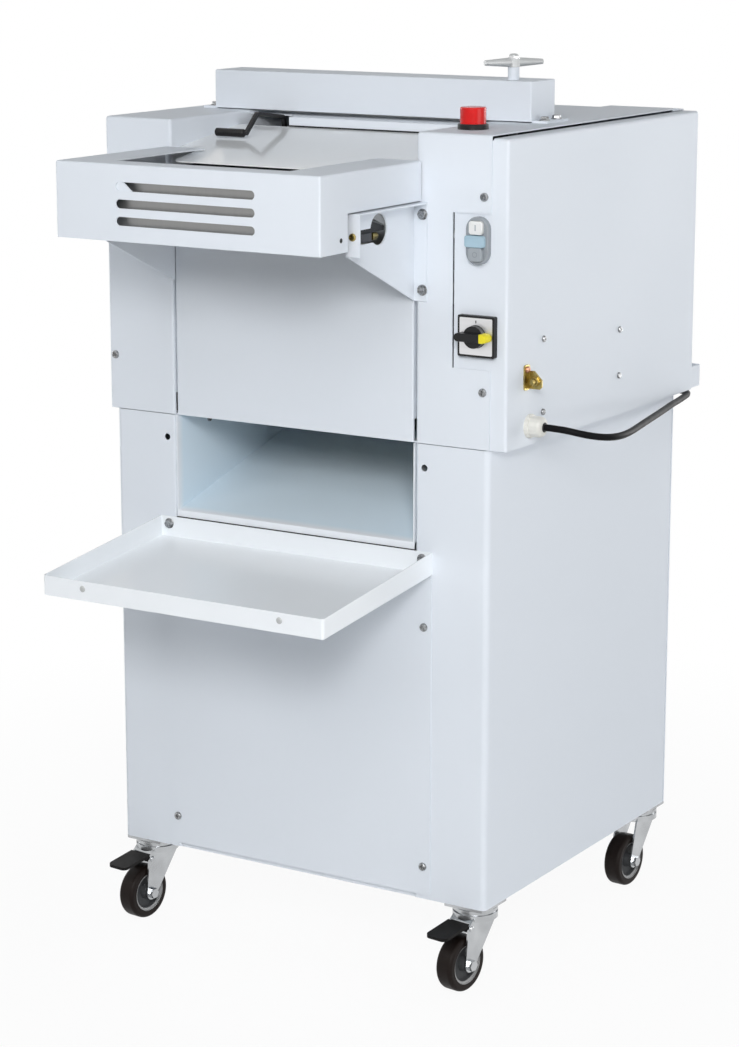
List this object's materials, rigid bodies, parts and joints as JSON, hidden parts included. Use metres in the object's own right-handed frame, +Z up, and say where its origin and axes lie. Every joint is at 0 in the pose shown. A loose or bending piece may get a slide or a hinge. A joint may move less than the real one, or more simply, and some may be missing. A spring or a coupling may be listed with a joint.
{
  "type": "dough moulder",
  "caption": "White floor-standing bread dough moulder on swivel casters, with a tipping feed guard, sheeting rollers, moulding belt and exit tray.",
  "frame": {"origin": "on the floor, under the middle of the machine's box without its mains lead", "axes": "+Z up, -Y towards the operator at the feed side, +X to the operator's right at the controls"},
  "size_m": [0.7138, 0.9578, 1.2048],
  "materials": {
    "white_paint": "gloss",
    "stainless": "brushed",
    "zinc": "satin",
    "dark_steel": "satin",
    "roller_nylon": "satin",
    "gear_steel": "satin",
    "belt_felt": "matte",
    "motor_grey": "satin",
    "cast_alloy": "satin",
    "black_plastic": "satin",
    "grey_plastic": "satin",
    "white_plastic": "gloss",
    "red_plastic": "gloss",
    "brass": "satin",
    "off_white_plastic": "satin",
    "tyre_rubber": "matte",
    "cord_black": "satin"
  },
  "bodies": {
    "casing": {"pedestal_left_side": "white_paint", "pedestal_right_side": "white_paint", "pedestal_floor": "white_paint", "lower_front_panel": "white_paint", "back_panels": "white_paint", "exit_tray": "white_paint", "head_base": "white_paint", "left_tower": "white_paint", "right_tower": "white_paint", "right_side_cover": "white_paint", "upper_front_panel": "white_paint", "feed_deck": "white_paint", "top_plate": "white_paint", "top_bar": "white_paint", "guard_brackets": "white_paint", "discharge_chute": "white_paint", "feed_slide": "stainless", "interlock_switch": "black_plastic", "switch_body": "black_plastic", "estop_base": "black_plastic", "frame_plates": "dark_steel", "shaft_bearings": "gear_steel", "gearmotor": "motor_grey", "moulding_belt": "belt_felt", "panel_screws": "zinc", "hex_bolts": "zinc", "caster_plates": "zinc", "earth_terminal": "brass", "cable_gland": "off_white_plastic", "button_housing": "grey_plastic", "power_cord": "cord_black", "cord_coil": "cord_black", "plug": "cord_black"},
    "front_roller": {"front_roller": "roller_nylon", "front_roller_gear": "gear_steel"},
    "gap_carriage": {"roller_carriage": "cast_alloy"},
    "rear_roller": {"rear_roller": "roller_nylon", "rear_roller_gear": "gear_steel"},
    "belt_drive": {"drive_roller": "gear_steel", "drive_gear": "gear_steel"},
    "belt_idler": {"idler_roller": "gear_steel"},
    "gap_lever": {"gap_lever": "dark_steel", "lever_grip": "black_plastic"},
    "feed_guard": {"feed_guard": "white_paint"},
    "pressure_handle": {"pressure_handle": "cast_alloy"},
    "pressure_board": {"pressure_board": "white_plastic"},
    "start_button": {"start_button": "white_plastic"},
    "stop_button": {"stop_button": "grey_plastic"},
    "switch_knob": {"switch_knob": "black_plastic"},
    "estop_button": {"estop_button": "red_plastic"},
    "swivel_front_left": {"caster_fork_front_left": "zinc"},
    "wheel_front_left": {"caster_wheel_front_left": "tyre_rubber"},
    "pedal_front_left": {"brake_pedal_front_left": "black_plastic"},
    "swivel_front_right": {"caster_fork_front_right": "zinc"},
    "wheel_front_right": {"caster_wheel_front_right": "tyre_rubber"},
    "pedal_front_right": {"brake_pedal_front_right": "black_plastic"},
    "swivel_rear_left": {"caster_fork_rear_left": "zinc"},
    "wheel_rear_left": {"caster_wheel_rear_left": "tyre_rubber"},
    "swivel_rear_right": {"caster_fork_rear_right": "zinc"},
    "wheel_rear_right": {"caster_wheel_rear_right": "tyre_rubber"}
  },
  "joints": [
    {"name": "front_roller_spin", "type": "hinge", "parent": "casing", "child": "front_roller", "pos_m": [-0.0215, -0.097, 0.9165], "axis": [1, 0, 0], "continuous": true},
    {"name": "gap_carriage_slide", "type": "slide", "parent": "casing", "child": "gap_carriage", "axis": [0, 0.515, 0.8572], "range_m": [0, 0.00587]},
    {"name": "rear_roller_spin", "type": "hinge", "parent": "gap_carriage", "child": "rear_roller", "pos_m": [-0.0215, -0.05374, 0.9885], "axis": [1, 0, 0], "continuous": true},
    {"name": "belt_drive_spin", "type": "hinge", "parent": "casing", "child": "belt_drive", "pos_m": [-0.0215, -0.05579, 0.81451], "axis": [1, 0, 0], "continuous": true},
    {"name": "belt_idler_spin", "type": "hinge", "parent": "casing", "child": "belt_idler", "pos_m": [-0.0215, 0.18421, 0.81451], "axis": [1, 0, 0], "continuous": true},
    {"name": "gap_lever_turn", "type": "hinge", "parent": "casing", "child": "gap_lever", "pos_m": [-0.0215, 0.00704, 1.08965], "axis": [-1, 0, 0], "range_deg": [0, 35]},
    {"name": "feed_guard_tip", "type": "hinge", "parent": "casing", "child": "feed_guard", "pos_m": [-0.0215, -0.352, 1.0025], "axis": [1, 0, 0], "range_deg": [0, 65]},
    {"name": "pressure_handle_turn", "type": "hinge", "parent": "casing", "child": "pressure_handle", "pos_m": [0.1865, 0.048, 1.1715], "axis": [0, 0, 1], "range_deg": [-1080, 1800]},
    {"name": "pressure_board_slide", "type": "slide", "parent": "casing", "child": "pressure_board", "axis": [0, 0, 1], "range_m": [-0.009, 0.015]},
    {"name": "start_button_press", "type": "slide", "parent": "casing", "child": "start_button", "axis": [0, 1, 0], "range_m": [0, 0.003], "stiffness_N_per_m": 400},
    {"name": "stop_button_press", "type": "slide", "parent": "casing", "child": "stop_button", "axis": [0, 1, 0], "range_m": [0, 0.003], "stiffness_N_per_m": 400},
    {"name": "main_switch_turn", "type": "hinge", "parent": "casing", "child": "switch_knob", "pos_m": [0.2565, -0.1612, 0.8695], "axis": [0, 1, 0], "range_deg": [0, 90]},
    {"name": "estop_press", "type": "slide", "parent": "casing", "child": "estop_button", "axis": [0, 0, -1], "range_m": [0, 0.004]},
    {"name": "swivel_front_left_turn", "type": "hinge", "parent": "casing", "child": "swivel_front_left", "pos_m": [-0.2745, -0.131, 0.1145], "axis": [0, 0, 1], "continuous": true},
    {"name": "wheel_front_left_roll", "type": "hinge", "parent": "swivel_front_left", "child": "wheel_front_left", "pos_m": [-0.27785, -0.16282, 0.0375], "axis": [0.9945, -0.1045, 0], "continuous": true},
    {"name": "pedal_front_left_press", "type": "hinge", "parent": "swivel_front_left", "child": "pedal_front_left", "pos_m": [-0.27764, -0.16084, 0.0865], "axis": [0.9945, -0.1045, 0], "range_deg": [0, 12]},
    {"name": "swivel_front_right_turn", "type": "hinge", "parent": "casing", "child": "swivel_front_right", "pos_m": [0.2415, -0.131, 0.1145], "axis": [0, 0, 1], "continuous": true},
    {"name": "wheel_front_right_roll", "type": "hinge", "parent": "swivel_front_right", "child": "wheel_front_right", "pos_m": [0.23705, -0.16269, 0.0375], "axis": [0.9903, -0.1392, 0], "continuous": true},
    {"name": "pedal_front_right_press", "type": "hinge", "parent": "swivel_front_right", "child": "pedal_front_right", "pos_m": [0.23733, -0.16071, 0.0865], "axis": [0.9903, -0.1392, 0], "range_deg": [0, 12]},
    {"name": "swivel_rear_left_turn", "type": "hinge", "parent": "casing", "child": "swivel_rear_left", "pos_m": [-0.2745, 0.343, 0.1145], "axis": [0, 0, 1], "continuous": true},
    {"name": "wheel_rear_left_roll", "type": "hinge", "parent": "swivel_rear_left", "child": "wheel_rear_left", "pos_m": [-0.28545, 0.31293, 0.0375], "axis": [0.9397, -0.342, 0], "continuous": true},
    {"name": "swivel_rear_right_turn", "type": "hinge", "parent": "casing", "child": "swivel_rear_right", "pos_m": [0.2415, 0.343, 0.1145], "axis": [0, 0, 1], "continuous": true},
    {"name": "wheel_rear_right_roll", "type": "hinge", "parent": "swivel_rear_right", "child": "wheel_rear_right", "pos_m": [0.23927, 0.31108, 0.0375], "axis": [0.9976, -0.0698, 0], "continuous": true}
  ],
  "couplings": [
    {"joint": "rear_roller_spin", "follows": "front_roller_spin", "ratio": -1},
    {"joint": "belt_drive_spin", "follows": "front_roller_spin", "ratio": -0.61765},
    {"joint": "belt_idler_spin", "follows": "front_roller_spin", "ratio": -0.61765},
    {"joint": "gap_lever_turn", "follows": "gap_carriage_slide", "rad_per_m": 104.04},
    {"joint": "pressure_handle_turn", "follows": "pressure_board_slide", "rad_per_m": 2094.4}
  ]
}
